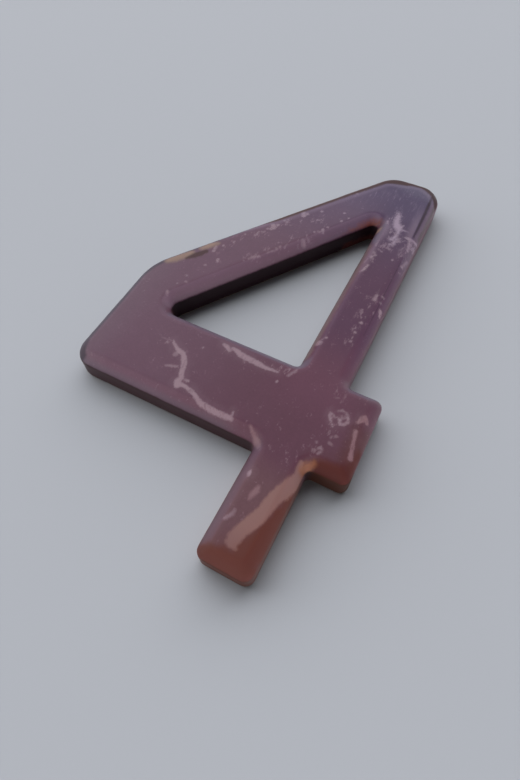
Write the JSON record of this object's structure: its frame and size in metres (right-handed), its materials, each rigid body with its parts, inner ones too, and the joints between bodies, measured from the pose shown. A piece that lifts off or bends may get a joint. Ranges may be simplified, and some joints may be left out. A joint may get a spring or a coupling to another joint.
{
  "type": "ceramic house numeral",
  "caption": "House numeral in glazed ceramic: a thick slab cut to a digit's outline, with a softly bevelled front shoulder, a triangular counter and a flat back that is bedded on a wall or door.",
  "frame": {"origin": "on the back, in the middle of its width and height", "axes": "+Y up the digit as it is read, +X to the reader's right, +Z out of the face"},
  "size_m": [0.1152, 0.2, 0.013],
  "materials": {
    "glaze": "gloss mauve-brown glaze with pale mottling, breaking to rust and ochre where it is thin, over bare clay on the back"
  },
  "bodies": {
    "root": {"numeral_four": "glaze"}
  },
  "joints": []
}
